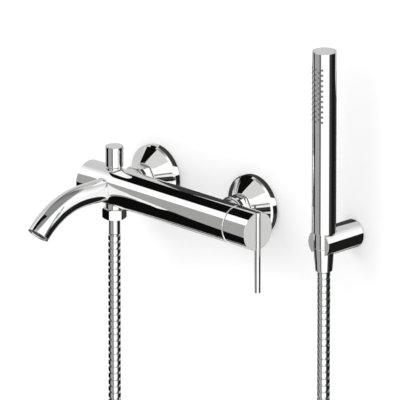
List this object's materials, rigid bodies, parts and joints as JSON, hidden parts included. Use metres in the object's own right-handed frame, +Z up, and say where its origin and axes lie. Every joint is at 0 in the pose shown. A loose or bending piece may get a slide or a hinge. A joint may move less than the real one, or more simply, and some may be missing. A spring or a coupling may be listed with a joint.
{
  "type": "wall mounted bath faucet",
  "caption": "Wall mounted bath mixer with a side lever, down-curved spout, pull-up diverter and a stick hand shower on a hose, held in a wall bracket.",
  "frame": {"origin": "on the wall plane, midway between the two inlets, at the height of the mixer's axis", "axes": "+X to the right along the wall, from the hot inlet to the cold one and on to the hand shower; +Y into the wall; +Z up"},
  "size_m": [0.3595, 0.2207, 0.8025],
  "materials": {
    "chrome": "polished chrome plate",
    "brass": "machined brass, unplated",
    "steel": "stainless steel",
    "rubber": "black sealing rubber",
    "ceramic": "lapped ceramic",
    "plastic": "pale moulded plastic",
    "silicone": "grey silicone"
  },
  "bodies": {
    "mixer": {"mixer_body": "chrome", "left_end_plug": "chrome", "plug_seal": "rubber", "spout_tube": "chrome", "spout_seal": "rubber", "aerator_housing": "chrome", "aerator_insert": "plastic", "check_valve_hot": "plastic", "check_valve_cold": "plastic", "inlet_washer_hot": "rubber", "inlet_washer_cold": "rubber", "union_hot": "brass", "union_cold": "brass", "union_nut_hot": "chrome", "union_nut_cold": "chrome", "wall_rose_hot": "chrome", "wall_rose_cold": "chrome", "cartridge_base_seal": "rubber", "cartridge_housing": "plastic", "cartridge_fixed_disc": "ceramic", "cartridge_retaining_ring": "brass", "cartridge_cover": "chrome", "diverter_bush": "chrome", "diverter_spring": "steel", "outlet_nipple": "brass", "mixer_hose_nut": "chrome", "mixer_hose_washer": "rubber", "mixer_hose_ferrule": "chrome", "shower_hose": "chrome", "bracket_body": "chrome", "bracket_liner": "plastic", "bracket_mount": "steel", "bracket_screw": "steel", "bracket_anchor": "plastic", "bracket_grub_screw": "steel"},
    "lever_rotor": {"cartridge_rotor": "plastic", "rotor_pin": "steel"},
    "moving_disc": {"cartridge_moving_disc": "ceramic"},
    "lever": {"spindle": "steel", "handle_cap": "chrome", "lever_rod": "chrome", "rod_screw_upper": "steel", "rod_screw_lower": "steel", "cap_grub_screw": "steel"},
    "diverter": {"diverter_knob": "chrome", "diverter_stem": "brass", "diverter_washer": "rubber"},
    "handset_end": {"handset_hose_ferrule": "chrome"},
    "handset": {"handset_hose_nut": "chrome", "handset_hose_washer": "rubber", "handset_neck": "chrome", "handset_tube": "chrome", "handset_top_cap": "chrome", "nozzle_insert": "silicone"}
  },
  "joints": [
    {"name": "lever_temperature", "type": "hinge", "parent": "mixer", "child": "lever_rotor", "pos_m": [0.092, -0.0625, 0], "axis": [1, 0, 0], "range_deg": [-45, 45]},
    {"name": "lever_tilt", "type": "hinge", "parent": "lever_rotor", "child": "lever", "pos_m": [0.092, -0.0625, 0], "axis": [0, -1, 0], "range_deg": [0, 25]},
    {"name": "moving_disc_slide", "type": "slide", "parent": "lever_rotor", "child": "moving_disc", "axis": [0, 0, -1], "range_m": [0, 0.0022]},
    {"name": "diverter_pull", "type": "slide", "parent": "mixer", "child": "diverter", "axis": [0, 0, 1], "range_m": [0, 0.008], "stiffness_N_per_m": 400, "springref_m": -0.005, "deforming": ["diverter_spring"]},
    {"name": "handset_lift", "type": "slide", "parent": "mixer", "child": "handset_end", "axis": [0, 0, 1], "range_m": [0, 0.06]},
    {"name": "handset_turn", "type": "hinge", "parent": "handset_end", "child": "handset", "pos_m": [0.226, -0.046, 0], "axis": [0, 0, 1], "continuous": true}
  ],
  "couplings": [
    {"joint": "moving_disc_slide", "follows": "lever_tilt", "m_per_rad": 0.005}
  ]
}
